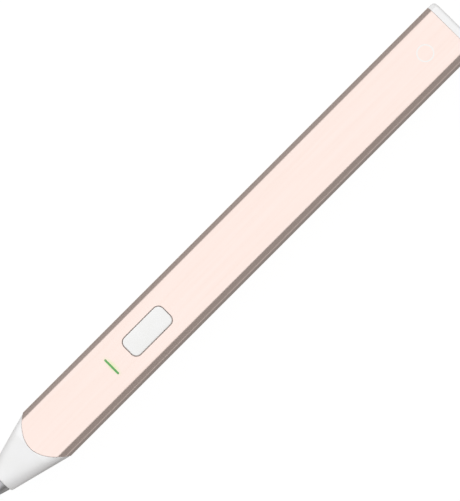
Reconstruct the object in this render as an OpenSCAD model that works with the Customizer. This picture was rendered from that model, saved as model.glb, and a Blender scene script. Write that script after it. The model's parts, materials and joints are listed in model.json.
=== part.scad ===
// Slim cordless 3D drawing pen. It lies on its back face, nozzle towards -X, button side up.

/* [Body tube] */
// Width of the tube across the button face
body_w = 16.4; // [16.4:0.1:17.4]
// Thickness of the tube from button face to back face
body_t = 15.6; // [15.6:0.1:16.6]
// Wall thickness of the tube
wall = 1.0; // [0.8:0.05:1.0]
// Width of the bevel along each long edge
edge_bevel = 1.6; // [1.2:0.1:1.8]
// Length of the tube along the middle of the button face
tube_len = 156.5; // [156.5:0.5:170]
// How far the arched front end falls back at the sides
seam_sag = 5.1; // [3:0.1:5.4]

/* [Nose and nozzle] */
// Length of the nose in front of the tube, at the middle of the face
nose_len = 12; // [12:0.1:13]
// Outer radius of the nose at its front end
nose_end_r = 3.95; // [3.9:0.05:4.3]
// Length of the nozzle outside the nose
nozzle_len = 6.6; // [5:0.1:8]
// Radius of the nozzle where it meets the nose
nozzle_base_r = 3.4; // [3.2:0.05:3.7]
// Radius of the hole that the plastic comes out of
orifice_r = 0.35; // [0.2:0.05:0.5]

/* [End cap] */
// How far the end cap stands out of the tube
cap_len = 2.3; // [2:0.1:3]

/* [Button and light] */
// Length of the feed button
button_l = 14.3; // [12:0.1:15]
// Width of the feed button
button_w = 6.1; // [5.5:0.1:7]
// Corner radius of the feed button
button_r = 1.7; // [1:0.1:2.4]
// Distance from the arched end to the middle of the button
button_x = 43.7; // [42:0.1:44]
// Distance from the arched end to the light line
light_x = 30.4; // [28:0.1:31]
// Length of the light line across the face
light_l = 5.2; // [4:0.1:7]
// Width of the light line
light_w = 0.4; // [0.3:0.05:0.6]

/* [Feed] */
// Radius of the hole that guides 1.75 mm filament
filament_bore_r = 1.0; // [0.95:0.05:1.1]
// Radius of the filament inlet in the end cap
inlet_r = 1.2; // [1.15:0.05:1.25]
// Teeth on the motor pinion
pinion_teeth = 8; // [8]
// Teeth on the crown gear
crown_teeth = 20; // [20]
// Coils in the idler spring
spring_coils = 3.5; // [2.5:0.5:4]

/* [Battery] */
// Diameter of the battery cell
cell_d = 10; // [9:0.1:10]
// Length of the battery cell
cell_len = 44; // [40:0.5:44]

/* [Hidden] */
$fn = 48;
fit_gap = 0.05;             // between a spigot and the tube
edge_round = 0.25;          // rounding where a bevel meets a face
total_len = nozzle_len + nose_len + tube_len + cap_len;
arch_x = nozzle_len + nose_len - total_len / 2;   // arch middle, from the origin
inner_w = body_w - 2 * wall;
inner_t = body_t - 2 * wall;
inner_bevel = edge_bevel - wall * (2 - sqrt(2));
half_w = body_w / 2;
half_t = body_t / 2;
ceiling = half_t - wall;    // inside of the button face, above the pen's axis
nose_tip = -nose_len;
nose_slope = (half_w - nose_end_r) / (nose_len + seam_sag);   // taper of the nose at its sides
nozzle_slope = 0.3;         // taper of the nozzle

// The motor and the battery share one column beside the filament
col_y = -2;
col_z = -1.6;
col_r = 5;
filament_y = 4;
filament_z = 1.6;
tube_r = 1.5;               // outer radius of both guide tubes

// Chassis and feeder frame
mount_x = [9.4, 12.9];      // plate that carries the hot end
chassis_x0 = 12.95;
frame_x = [52, 67.6];
mount_screws = [[-5.2, -4.8], [5.2, -4.8]];
cable_r = 1.3;              // passage for the motor and battery wires
cable_y = -2;
cable_z = 2;

// Feeder
wheel_x = 58;
wheel_r = 2.6;
groove_r = 2.35;
shaft_r = 0.75;
run_gap = 0.03;             // radial running clearance
gear_module = 0.4;
pinion_r = gear_module * pinion_teeth / 2;
crown_r = gear_module * crown_teeth / 2;
crown_face = 0.5;           // half the length of a crown tooth
crown_y = col_y + pinion_r; // pitch plane of the crown gear
roller_r = 2;
roller_z = filament_z + 0.875 - 0.35 + roller_r;
pin_r = 0.6;
pivot_x = 66;
pivot_z = 4.9;
spring_x = 62.2;
spring_low = 4.2;
spring_high = 6.3;

// Boards
board_low = 3.7;
board_high = 4.7;
board_x0 = 22;
board_x1 = 54;
support_x = [24, 40];       // where the board is screwed down
support_y = 6.1;
button_top = half_t + 0.2;
flange_low = 6.15;
flange_high = ceiling - 0.1;

// Rear end
gearbox_x = 66;
motor_x = 78;
bell_x = 94;
cell_x = 100.8;
cell_end = cell_x + cell_len;
rear_wall_x = 147.2;
rear_x0 = 66.1;             // front end of the rear chassis
bulkhead_x = [97.6, 98.8];  // between the motor and the battery
foam_x = [104, 142];
tail_board_x = [148.6, 154.4];
port_x0 = 150.9;
port_x1 = tube_len + cap_len - 0.5;
port_y = -1.5;
port_z = -2.6;
port_half = 2.85;           // half the flat part of the socket's width
port_r = 1.63;              // round ends of the socket's shell
port_wall = 0.3;

// ---- Shapes that repeat ----

// Everything below is drawn from the middle of the arched seam, on the pen's own axis
module place() translate([arch_x, 0, half_t]) children();

module along_x(x0, x1)
  translate([x0, 0, 0]) rotate([90, 0, 90]) linear_extrude(height = x1 - x0) children();

module rod_x(r, x0, x1, y = 0, z = 0)
  translate([x0, y, z]) rotate([0, 90, 0]) cylinder(r = r, h = x1 - x0);

module rod_y(r, y0, y1, x, z)
  translate([x, y0, z]) rotate([-90, 0, 0]) cylinder(r = r, h = y1 - y0);

module rod_z(r, z0, z1, x, y)
  translate([x, y, z0]) cylinder(r = r, h = z1 - z0);

module sleeve_x(r_out, r_in, x0, x1, y = 0, z = 0)
  difference() {
    rod_x(r_out, x0, x1, y, z);
    rod_x(r_in, x0 - 1, x1 + 1, y, z);
  }

module block(x, y, z)
  translate([x[0], y[0], z[0]]) cube([x[1] - x[0], y[1] - y[0], z[1] - z[0]]);

// A flat slab with round corners, lying in XY
module pill(l, w, r, z0, z1, x, y = 0) {
  block([x - l / 2 + r, x + l / 2 - r], [y - w / 2, y + w / 2], [z0, z1]);
  block([x - l / 2, x + l / 2], [y - w / 2 + r, y + w / 2 - r], [z0, z1]);
  for (sx = [-1, 1])
    for (sy = [-1, 1])
      rod_z(r, z0, z1, x + sx * (l / 2 - r), y + sy * (w / 2 - r));
}

// A screw along X with its head at x, pointing up to x + len
module screw_x(x, len, y, z, r = 0.6, head_r = 1.1, head_h = 0.7)
  difference() {
    union() {
      rod_x(r, x, x + len, y, z);
      rod_x(head_r, x - head_h, x, y, z);
    }
    block([x - head_h - 1, x - head_h + 0.3], [y - head_r - 1, y + head_r + 1], [z - 0.15, z + 0.15]);
  }

// Faces of a closed skin over rings of points, each ring running anticlockwise about the way ahead
function skin_faces(sides, rings) = concat(
  [[for (i = [0 : sides - 1]) i]],
  [[for (i = [sides - 1 : -1 : 0]) (rings - 1) * sides + i]],
  [for (j = [0 : rings - 2])
    for (i = [0 : sides - 1])
      let (a = j * sides + i, b = j * sides + (i + 1) % sides)
      each [[a, a + sides, b], [b, a + sides, b + sides]]]);

// Outline of a rectangle w by t with a bevel c on each corner and a rounding r where they meet
function bevel_centres(q, hw, ht, k) =
  q == 0 ? [[hw, ht - k], [hw - k, ht]] :
  q == 1 ? [[k - hw, ht], [-hw, ht - k]] :
  q == 2 ? [[-hw, k - ht], [k - hw, -ht]] :
           [[hw - k, -ht], [hw, k - ht]];

function bevelled(w, t, c, r, steps = 3) =
  let (hw = w / 2 - r, ht = t / 2 - r, k = c - r * (2 - sqrt(2)))
  [for (q = [0 : 3])
    for (corner = [0 : 1])
      for (i = [0 : steps])
        bevel_centres(q, hw, ht, k)[corner]
          + r * [for (f = [0, 90]) cos(q * 90 + corner * 45 + i * 45 / steps - f)]];

module inner_outline(gap) polygon(bevelled(inner_w - 2 * gap, inner_t - 2 * gap, inner_bevel, edge_round));

// Everything in front of the arched seam, a parabola across the width
module before_seam(gap = 0) {
  reach = half_w + 1;
  steps = 28;
  linear_extrude(height = 2 * body_t, center = true)
    polygon(concat(
      [for (i = [0 : steps])
        let (y = -reach + 2 * reach * i / steps)
        [seam_sag * pow(y / half_w, 2) - gap, y]],
      [[-2 * nose_len, reach], [-2 * nose_len, -reach]]));
}

// ---- Nose: square section at the tube, round at the front ----

nose_sides = 72;
nose_rings = 18;
nose_back = 8.4;            // rear end of the nose's spigot

function clamp01(v) = max(0, min(1, v));
function nose_exponent(x) = 2 + 4.6 * pow(clamp01((x - nose_tip) / (seam_sag - nose_tip)), 1.3);
function nose_half_w(x) = min(half_w, nose_end_r + nose_slope * (x - nose_tip));
function nose_half_t(x) = min(half_t, nose_end_r + (half_t - nose_end_r) * (x - nose_tip) / nose_len);
function signed_power(v, p) = sign(v) * pow(abs(v), p);

// A ring of the nose: a superellipse whose exponent falls from 6.6 to 2 towards the front
function nose_ring(x) =
  [for (i = [0 : nose_sides - 1])
    let (a = 360 * i / nose_sides, p = 2 / nose_exponent(x))
    [x, nose_half_w(x) * signed_power(cos(a), p), nose_half_t(x) * signed_power(sin(a), p)]];

module nose_loft() {
  ring_x = [for (j = [0 : nose_rings]) nose_tip + (nose_back - nose_tip) * j / nose_rings];
  polyhedron(
    points = [for (x = ring_x) each nose_ring(x)],
    faces = skin_faces(nose_sides, len(ring_x)));
}

module nose_cone()
  color("white")
    place()
      difference() {
        intersection() {
          nose_loft();
          union() {
            before_seam(fit_gap);
            along_x(nose_tip / 4, nose_back) inner_outline(fit_gap);
          }
        }
        rod_x(2.9, nose_tip - 1, nose_tip + 6);
        translate([nose_tip + 2, 0, 0])
          rotate([0, 90, 0])
            cylinder(r1 = 2.9, r2 = 5.7, h = nose_len - 2);
        rod_x(5.7, -0.01, nose_back + 1);
      }

// ---- Body tube, end cap, button and light ----

module body_tube()
  color("mistyrose")
    place()
      difference() {
        along_x(0, tube_len) polygon(bevelled(body_w, body_t, edge_bevel, edge_round));
        along_x(-1, tube_len + 1) inner_outline(0);
        before_seam();
        pill(button_l + 0.4, button_w + 0.4, button_r + 0.2, ceiling - 1, half_t + 1, button_x);
        block([light_x - light_w / 2 - 0.05, light_x + light_w / 2 + 0.05],
          [-light_l / 2 - 0.05, light_l / 2 + 0.05], [ceiling - 1, half_t + 1]);
      }

module end_cap() {
  lip = 0.8;                // bevel around the outer face
  color("white")
    place()
      difference() {
        union() {
          along_x(tube_len + fit_gap, tube_len + cap_len - lip)
            polygon(bevelled(body_w - 0.1, body_t - 0.1, edge_bevel, edge_round));
          along_x(tube_len + cap_len - lip - 0.01, tube_len + cap_len)
            polygon(bevelled(body_w - lip, body_t - lip, edge_bevel, edge_round));
          along_x(tube_len - 5, tube_len + 0.1) inner_outline(fit_gap);
        }
        along_x(tube_len - 6, tube_len) inner_outline(1.1);
        rod_x(1.85, tube_len - 1, tube_len + cap_len + 1, filament_y, filament_z);
        for (s = [-1, 1])
          rod_x(port_r + 0.12, tube_len - 1, tube_len + cap_len + 1, port_y + s * port_half, port_z);
        block([tube_len - 1, tube_len + cap_len + 1], [port_y - port_half, port_y + port_half],
          [port_z - port_r - 0.12, port_z + port_r + 0.12]);
      }
}

module feed_button()
  color("whitesmoke")
    place() {
      pill(button_l - 0.9, button_w - 0.9, button_r - 0.45, half_t - 0.1, button_top, button_x);
      pill(button_l, button_w, button_r, flange_high - 0.01, button_top - 0.2, button_x);
      pill(button_l + 1.4, button_w + 1.2, button_r + 0.5, flange_low, flange_high, button_x);
    }

module button_retainer()
  color("gainsboro")
    place()
      difference() {
        block([button_x - 9.8, button_x + 9.8], [-5.6, 5.6], [5.2, ceiling - 0.02]);
        pill(button_l + 2, button_w + 1.8, button_r + 0.8, 5, ceiling + 1, button_x);
      }

module light_guide()
  color("limegreen")
    place() {
      block([light_x - light_w / 2, light_x + light_w / 2], [-light_l / 2, light_l / 2],
        [ceiling - 0.06, half_t - 0.02]);
      block([light_x - 1.2, light_x + 1.2], [-light_l / 2 - 0.6, light_l / 2 + 0.6],
        [5.45, ceiling - 0.05]);
    }

// ---- Hot end, on the pen's axis ----

socket_depth = 2;           // how far the melt tube screws into the nozzle
melt_r = 2.2;
hot_back = 2;

module nozzle() {
  base_x = nose_tip - 0.05;
  tip_x = nose_tip - nozzle_len;
  shoulder_x = tip_x + 1.4;
  shoulder_r = nozzle_base_r - nozzle_slope * (base_x - shoulder_x);
  color("dimgray")
    place()
      rotate([0, 90, 0])
        rotate_extrude($fn = 96)
          polygon([
            [orifice_r, tip_x],
            [orifice_r + 0.45, tip_x],
            [shoulder_r - 0.25, shoulder_x - 0.3],
            [shoulder_r, shoulder_x],
            [nozzle_base_r, base_x],
            [melt_r, base_x],
            [melt_r, base_x - socket_depth],
            [filament_bore_r, base_x - socket_depth],
            [filament_bore_r, shoulder_x],
            [orifice_r, shoulder_x - 0.7]]);
}

module melt_tube()
  color("goldenrod")
    place()
      difference() {
        union() {
          rod_x(melt_r, nose_tip - socket_depth - 0.05, 0);
          rod_x(3.7, -1.4, hot_back);
        }
        rod_x(filament_bore_r, nose_tip - 3, hot_back + 1);
        rod_x(0.65, -3, hot_back + 1, 0, 2.9);
      }

module ceramic_collar() color("ivory") place() sleeve_x(2.85, melt_r, nose_tip + 0.1, nose_tip + 4);

module heater_sleeve() color("linen") place() sleeve_x(3.1, melt_r, nose_tip + 4.1, -1.5);

module heat_shield() color("silver") place() sleeve_x(3.7, 3.2, nose_tip + 5.2, -1.6);

module thermistor()
  color("firebrick")
    place() {
      rod_x(0.6, -1.2, hot_back, 0, 2.9);
      translate([hot_back, 0, 2.9]) sphere(r = 0.6);
    }

module heat_break()
  color("lightsteelblue")
    place()
      difference() {
        union() {
          rod_x(2, hot_back + 0.05, 15.6);
          rod_x(2.1, hot_back + 0.05, hot_back + 1);
        }
        rod_x(tube_r + 0.05, hot_back - 1, 17);
      }

module hot_end_mount()
  color("slategray")
    place()
      difference() {
        along_x(mount_x[0], mount_x[1]) inner_outline(0.15);
        rod_x(2, 9, 14);
        for (y = [-3, 3]) rod_x(1.1, 9, 14, y, 3.6);
        for (p = mount_screws) rod_x(0.7, 9, 14, p[0], p[1]);
      }

module lock_nut()
  color("silver")
    place()
      difference() {
        translate([chassis_x0, 0, 0]) rotate([0, 90, 0]) cylinder(r = 3.2, h = 1.9, $fn = 6);
        rod_x(2, 12, 16);
      }

module hot_end_screws()
  color("silver")
    place()
      for (p = mount_screws)
        screw_x(mount_x[0] - 0.1, 7, p[0], p[1]);

// ---- Guide tubes ----

guide_sides = 16;
guide_x = concat([2.2, 14], [for (i = [1 : 16]) 14 + 37 * i / 16], [55.2]);

// Half a cosine wave carries the tube from the pen's axis to the filament line
function guide_bend(x) = (1 - cos(180 * clamp01((x - 14) / 37))) / 2;
function guide_ring(x, r) =
  [for (i = [0 : guide_sides - 1])
    let (a = 360 * i / guide_sides)
    [x, filament_y * guide_bend(x) + r * cos(a), filament_z * guide_bend(x) + r * sin(a)]];

module guide_solid(xs, r)
  polyhedron(points = [for (x = xs) each guide_ring(x, r)], faces = skin_faces(guide_sides, len(xs)));

module front_guide_tube()
  color("white")
    place()
      difference() {
        guide_solid(guide_x, tube_r);
        guide_solid(concat([1], [for (i = [1 : len(guide_x) - 2]) guide_x[i]], [57]), filament_bore_r);
      }

module rear_filament_tube()
  color("white")
    place()
      sleeve_x(tube_r, filament_bore_r, 66.6, tube_len - 3.6, filament_y, filament_z);

module inlet_guide()
  color("goldenrod")
    place()
      difference() {
        rod_x(1.45, 61.4, 66.5, filament_y, filament_z);
        rod_x(filament_bore_r, 61, 67, filament_y, filament_z);
      }

module inlet_ferrule()
  color("silver")
    place()
      difference() {
        rod_x(1.85, tube_len - 3.5, tube_len + cap_len - 0.1, filament_y, filament_z);
        rod_x(inlet_r, tube_len - 5, tube_len + cap_len + 1, filament_y, filament_z);
        translate([tube_len + cap_len - 0.7, filament_y, filament_z])
          rotate([0, 90, 0])
            cylinder(r1 = inlet_r, r2 = inlet_r + 0.5, h = 0.62);
      }

// ---- Front chassis and feeder ----

plate_x = [50.7, 51.9];     // joins the front chassis to the feeder frame
joint_screws = [[-5.4, -4.6], [5.4, -4.6]];

module front_chassis_bars() {
  block([chassis_x0, plate_x[1]], [3.7, 6.9], [-6.5, -3.2]);
  block([chassis_x0, plate_x[1]], [-6.9, -3.7], [-6.5, -3.2]);
  block([plate_x[0], plate_x[1]], [-6.9, 6.9], [-6.5, 3.6]);
  for (x = support_x) {
    block([x - 1.3, x + 1.3], [-6.9, 6.9], [-6.5, -5.3]);
    for (y = [[-6.9, -5.4], [5.4, 6.9]])
      block([x - 1.3, x + 1.3], y, [-5.4, board_low]);
  }
}

module front_chassis()
  color("dimgray")
    place()
      difference() {
        intersection() {
          along_x(chassis_x0, plate_x[1]) inner_outline(0.1);
          front_chassis_bars();
        }
        for (p = mount_screws) rod_x(0.6, 12, 16.3, p[0], p[1]);
        for (p = joint_screws) rod_x(0.6, plate_x[0] - 6, 60, p[0], p[1]);
        for (p = joint_screws) rod_x(1.2, 45, plate_x[0], p[0], p[1]);
        rod_x(tube_r + 0.15, 50, 53, filament_y, filament_z);
        for (x = support_x)
          for (y = [-support_y, support_y])
            rod_z(0.5, 1.2, 5, x, y);
        rod_x(cable_r, 50, 53, cable_y, cable_z);
      }

module feeder_walls() {
  block([frame_x[0], 66], [-6, 6.9], [-6.65, -6.3]);
  block([frame_x[0], 53], [-6.9, 6.9], [-6.65, 3.5]);
  block([53, 62.5], [-6.2, -4.8], [-6.65, 2.2]);
  block([53, 66], [6.2, 7.1], [-6.65, 6.1]);
  block([65, frame_x[1]], [6.2, 7.1], [0.2, 6.1]);
  block([64.8, 66], [-6.9, 6.9], [-6.65, 3.3]);
  block([61, frame_x[1]], [0.9, 1.7], [3.2, 6.7]);
  block([61, 63.4], [0.9, 7.1], [spring_high, 6.7]);
  block([61, 63.4], [6.2, 7.1], [6, 6.7]);
  for (p = joint_screws) rod_x(1.1, 52.9, 55, p[0], p[1]);
}

module feeder_frame()
  color("darkslategray")
    place()
      difference() {
        intersection() {
          along_x(frame_x[0], frame_x[1]) inner_outline(0.1);
          feeder_walls();
        }
        rod_y(1.3, -7, 8, wheel_x, col_z);
        rod_x(2.5, 64, 67, col_y, col_z);
        rod_x(1.45, 63, 67, filament_y, filament_z);
        rod_x(tube_r, 51, 54, filament_y, filament_z);
        rod_y(pin_r, 0, 8, pivot_x, pivot_z);
        for (p = joint_screws) rod_x(0.6, 51, 56, p[0], p[1]);
        rod_x(cable_r, 51, 54, cable_y, cable_z);
      }

module feeder_screws() color("silver") place() for (p = joint_screws) screw_x(plate_x[0], 4, p[0], p[1]);

module shaft_bushes()
  color("goldenrod")
    place()
      for (y = [[-6.2, -4.7], [6.1, 7]])
        difference() {
          rod_y(1.3, y[0], y[1], wheel_x, col_z);
          rod_y(shaft_r + run_gap, y[0] - 1, y[1] + 1, wheel_x, col_z);
        }

module feed_shaft() color("silver") place() rod_y(shaft_r, -6.1, 6.9, wheel_x, col_z);

module feed_wheel() {
  teeth = 22;
  depth = 0.16;
  color("silver")
    place()
      difference() {
        translate([wheel_x, 2.5, col_z])
          rotate([-90, 0, 0])
            linear_extrude(height = 3)
              polygon([for (i = [0 : 2 * teeth - 1])
                (wheel_r - depth * (i % 2)) * [cos(180 * i / teeth), sin(180 * i / teeth)]]);
        rod_y(shaft_r, 2, 6, wheel_x, col_z);
        translate([wheel_x, filament_y, col_z])
          rotate([90, 0, 0])
            rotate_extrude()
              translate([groove_r + 0.875, 0])
                circle(r = 0.875);
      }
}

// Tooth profile: b wide at its foot, a third of that at its tip, h high
module tooth(b, h) polygon([[-b / 2, -0.1], [b / 2, -0.1], [b / 2, 0], [b / 6, h], [-b / 6, h], [-b / 2, 0]]);

module crown_gear() {
  foot_y = crown_y + 0.55;  // where the teeth stand on the disc
  color("gold")
    place()
      translate([wheel_x, foot_y, col_z])
        difference() {
          union() {
            rotate([-90, 0, 0]) cylinder(r = crown_r + crown_face, h = 1);
            rotate([-90, 0, 0]) cylinder(r = 1.7, h = 2.2);
            for (i = [0 : crown_teeth - 1])
              rotate([0, 360 * i / crown_teeth, 0])
                translate([crown_r - crown_face, 0, 0])
                  rotate([90, 0, 90])
                    linear_extrude(height = 2 * crown_face)
                      rotate(90)
                        tooth(0.55, 0.85);
          }
          rod_y(shaft_r, -2, 4, 0, 0);
        }
}

module pinion() {
  root_r = 1.12;
  color("gold")
    place()
      difference() {
        union() {
          rod_x(root_r, wheel_x + crown_r - 0.6, 64.4, col_y, col_z);
          for (i = [0 : pinion_teeth - 1])
            translate([wheel_x + crown_r - 0.6, col_y, col_z])
              rotate([360 * (i + 0.5) / pinion_teeth, 0, 0])
                translate([0, 0, root_r - 0.05])
                  rotate([90, 0, 90])
                    linear_extrude(height = 1.2)
                      tooth(0.62, 0.85);
        }
        rod_x(shaft_r, 60, 66, col_y, col_z);
      }
}

module motor_shaft() color("silver") place() rod_x(shaft_r, 61.2, 70, col_y, col_z);

module gearbox()
  color("silver")
    place()
      difference() {
        union() {
          rod_x(col_r - 0.05, gearbox_x, motor_x - 0.05, col_y, col_z);
          rod_x(2.45, 65, 67, col_y, col_z);
        }
        rod_x(shaft_r + run_gap, 64, 70.5, col_y, col_z);
      }

module motor_can()
  color("lightgray")
    place()
      rod_x(col_r - 0.05, motor_x, bell_x, col_y, col_z);

module motor_end_bell()
  color("black")
    place() {
      rod_x(4.5, bell_x, bell_x + 1.8, col_y, col_z);
      rod_x(1.8, bell_x + 1.7, bell_x + 2.4, col_y, col_z);
    }

module motor_terminals()
  color("goldenrod")
    place()
      for (s = [-1, 1])
        block([bell_x + 1.8, bell_x + 3.2], [col_y - 0.9, col_y + 0.9],
          [col_z + s * 3.2 - 0.15, col_z + s * 3.2 + 0.15]);

module idler_arm()
  color("slategray")
    place()
      difference() {
        union() {
          for (y = [[2.1, 2.8], [5.2, 5.9]]) {
            rod_y(1.1, y[0], y[1], wheel_x, roller_z);
            rod_y(1.2, y[0], y[1], pivot_x, pivot_z);
            block([wheel_x, pivot_x], y, [3.6, 4.9]);
          }
          block([61.2, 64], [2.1, 5.9], [3.6, spring_low]);
        }
        rod_y(pin_r, 1, 7, wheel_x, roller_z);
        rod_y(pin_r + run_gap, 1, 7, pivot_x, pivot_z);
      }

module idler_roller()
  color("silver")
    place()
      difference() {
        rod_y(roller_r, 3, 5, wheel_x, roller_z);
        rod_y(pin_r + run_gap, 2, 6, wheel_x, roller_z);
      }

module roller_pin() color("silver") place() rod_y(pin_r, 2.15, 5.85, wheel_x, roller_z);

module pivot_pin() color("silver") place() rod_y(pin_r, 0.9, 7, pivot_x, pivot_z);

// Helix of round wire between the arm and the bridge of the frame
module idler_spring() {
  wire_r = 0.14;
  coil_r = 0.95;
  wire_sides = 6;
  per_turn = 20;
  steps = spring_coils * per_turn;
  rise = spring_high - spring_low - 2 * wire_r - 0.04;
  color("silver")
    place()
      translate([spring_x, filament_y, spring_low + wire_r + 0.02])
        polyhedron(
          points = [for (j = [0 : steps])
            for (i = [0 : wire_sides - 1])
              let (t = 360 * j / per_turn, a = -360 * i / wire_sides, r = coil_r + wire_r * cos(a))
              [r * cos(t), r * sin(t), rise * j / steps + wire_r * sin(a)]],
          faces = skin_faces(wire_sides, steps + 1));
}

// ---- Main board ----

module main_board()
  color("seagreen")
    place()
      difference() {
        block([board_x0, board_x1], [-6.7, 6.7], [board_low, board_high]);
        for (x = support_x)
          for (y = [-support_y, support_y])
            rod_z(0.55, 3, 5, x, y);
        block([53, 55], [1.5, 7], [3, 5]);
      }

module board_screws()
  color("silver")
    place()
      for (x = support_x)
        for (y = [-support_y, support_y]) {
          rod_z(0.5, 1.4, board_high + 0.1, x, y);
          rod_z(0.8, board_high, board_high + 0.45, x, y);
        }

module switch_body()
  color("silver")
    place()
      difference() {
        block([button_x - 2.1, button_x + 2.1], [-1.6, 1.6], [board_high, 5.3]);
        rod_z(0.85, board_high, 6, button_x, 0);
      }

module switch_plunger() color("black") place() rod_z(0.8, 5.15, 6.12, button_x, 0);

module status_led() color("palegreen") place() block([light_x - 0.5, light_x + 0.5], [-1, 1], [board_high, 5.35]);

module control_chips()
  color("black")
    place() {
      block([31.8, 33.7], [-6, -3.6], [board_high, 5.5]);
      block([25.6, 28.8], [-1.6, 1.6], [board_low - 0.7, board_low]);
      block([35, 38.4], [-5.6, -2], [board_low - 0.8, board_low]);
    }

module board_parts()
  color("tan")
    place() {
      for (i = [0 : 3]) block([24.6 + 1.4 * i, 25.4 + 1.4 * i], [4, 5.4], [board_high, 5.2]);
      for (i = [0 : 3]) block([42 + 1.5 * i, 42.8 + 1.5 * i], [-6, -4.6], [board_low - 0.5, board_low]);
      rod_z(1.6, board_low - 1.8, board_low, 33, -4.2);
    }

// ---- Rear chassis and battery ----

module rear_chassis()
  color("dimgray")
    place()
      difference() {
        intersection() {
          along_x(rear_x0, rear_wall_x + 1) inner_outline(0.1);
          union() {
            block([rear_x0, rear_wall_x + 1], [3.5, 7], [-6.6, -0.2]);
            block(bulkhead_x, [-7, 7], [-6.6, 3.4]);
            block([rear_wall_x, rear_wall_x + 1], [-7, 7], [-6.6, 3.4]);
          }
        }
        rod_x(col_r, 60, bulkhead_x[0] - 0.1, col_y, col_z);
        rod_x(cell_d / 2 + 0.1, bulkhead_x[1] + 0.1, rear_wall_x - 0.1, col_y, col_z);
        rod_x(tube_r + 0.1, 60, rear_wall_x + 2, filament_y, filament_z);
        block([97, 99], [-1, 1.2], [2.4, 4]);
        block([rear_wall_x - 1, rear_wall_x + 2], [-1, 1.2], [2.4, 4]);
      }

module battery_cell()
  color("royalblue")
    place() {
      rod_x(cell_d / 2 - 0.05, cell_x + 1, cell_end, col_y, col_z);
      rod_x(1.9, cell_x, cell_x + 1.1, col_y, col_z);
    }

module front_contact()
  color("goldenrod")
    place() {
      block([bulkhead_x[1] + 0.1, bulkhead_x[1] + 0.5], [col_y - 2.8, col_y + 2.8], [col_z - 2.8, col_z + 2.8]);
      rod_x(1.5, 99.2, cell_x - 0.02, col_y, col_z);
    }

// Rings of falling size stand for the cone spring at the cell's flat end
module rear_contact()
  color("goldenrod")
    place() {
      block([rear_wall_x - 0.5, rear_wall_x - 0.05], [col_y - 3, col_y + 3], [col_z - 3, col_z + 3]);
      for (i = [0 : 3])
        translate([rear_wall_x - 0.7 - 0.38 * i, col_y, col_z])
          rotate([0, 90, 0])
            rotate_extrude()
              translate([2.6 - 0.38 * i, 0])
                circle(r = 0.28);
    }

module foam_pad() color("darkgray") place() block(foam_x, [-5.6, 1.4], [3.6, ceiling - 0.15]);

// ---- Charge socket at the tail ----

module tail_board() color("seagreen") place() block(tail_board_x, [-5.4, 3], [-5.3, -4.3]);

module charge_port()
  color("silver")
    place()
      difference() {
        union() {
          block([port_x0, port_x1], [port_y - port_half, port_y + port_half],
            [port_z - port_r, port_z + port_r]);
          for (s = [-1, 1]) rod_x(port_r, port_x0, port_x1, port_y + s * port_half, port_z);
        }
        block([port_x0 + 0.6, port_x1 + 1], [port_y - port_half, port_y + port_half],
          [port_z - port_r + port_wall, port_z + port_r - port_wall]);
        for (s = [-1, 1])
          rod_x(port_r - port_wall, port_x0 + 0.6, port_x1 + 1, port_y + s * port_half, port_z);
      }

module port_tongue()
  color("black")
    place()
      block([port_x0 + 0.65, port_x1 - 0.6], [port_y - 3.3, port_y + 3.3], [port_z - 0.35, port_z + 0.35]);

module charge_chip() color("black") place() block([149, 150.6], [-4, -1], [-4.3, -3.5]);

// ---- Wires, clipped along their whole run ----

function unit(v) = v / norm(v);
function way_ahead(route, i) =
  i == 0 ? unit(route[1] - route[0]) :
  i == len(route) - 1 ? unit(route[i] - route[i - 1]) :
  unit(unit(route[i] - route[i - 1]) + unit(route[i + 1] - route[i]));

// A wire with a ring at each point of its route, square to the way ahead
module wire(route, r = 0.38) {
  sides = 12;
  polyhedron(
    points = [for (i = [0 : len(route) - 1])
      let (n = way_ahead(route, i), u = unit(cross(n, [0, 1, 0])), v = cross(n, u))
      for (k = [0 : sides - 1])
        route[i] + r * (u * cos(360 * k / sides) + v * sin(360 * k / sides))],
    faces = skin_faces(sides, len(route)));
}

module heater_wires()
  color("ivory")
    place() {
      wire([[2.6, -0.5, 4.6], [7, -3, 3.6], [18, -3, 3.4], [23, -3, 3.2]]);
      wire([[2.6, 0.5, 4.6], [7, 3, 3.6], [18, 3, 3.4], [23, 3, 3.2]]);
    }

module motor_wires()
  color("red")
    place() {
      wire([[bell_x + 2.6, col_y - 1.5, 2.2], [97, -1.5, 4.6],
        [70, -1.5, 4.6], [62, -0.9, 4.8], [54.2, -0.9, 4.8]]);
      wire([[bell_x + 2.6, col_y - 3, 1.9], [97, -3, 4.6],
        [70, -3, 4.6], [62, -3, 4.8], [54.2, -3, 4.8]]);
    }

module battery_wires()
  color("black")
    place() {
      wire([[149.4, 0.3, -4], [149.4, 0.3, 4.6], [143.2, 0.3, 4.6]]);
      wire([[103, -5, 5.4], [70, -5, 5.4], [62, -5, 4.9], [54.2, -5, 4.9]]);
    }

body_tube();
nose_cone();
end_cap();
feed_button();
button_retainer();
light_guide();
nozzle();
melt_tube();
ceramic_collar();
heater_sleeve();
thermistor();
heat_shield();
heat_break();
hot_end_mount();
lock_nut();
hot_end_screws();
front_guide_tube();
front_chassis();
feeder_frame();
feeder_screws();
feed_shaft();
crown_gear();
feed_wheel();
shaft_bushes();
motor_shaft();
pinion();
gearbox();
motor_can();
motor_end_bell();
motor_terminals();
idler_arm();
idler_roller();
roller_pin();
pivot_pin();
idler_spring();
inlet_guide();
rear_filament_tube();
inlet_ferrule();
main_board();
switch_body();
switch_plunger();
status_led();
control_chips();
board_parts();
board_screws();
rear_chassis();
battery_cell();
front_contact();
rear_contact();
foam_pad();
tail_board();
charge_port();
port_tongue();
charge_chip();
heater_wires();
motor_wires();
battery_wires();
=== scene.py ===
import json
import math

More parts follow.
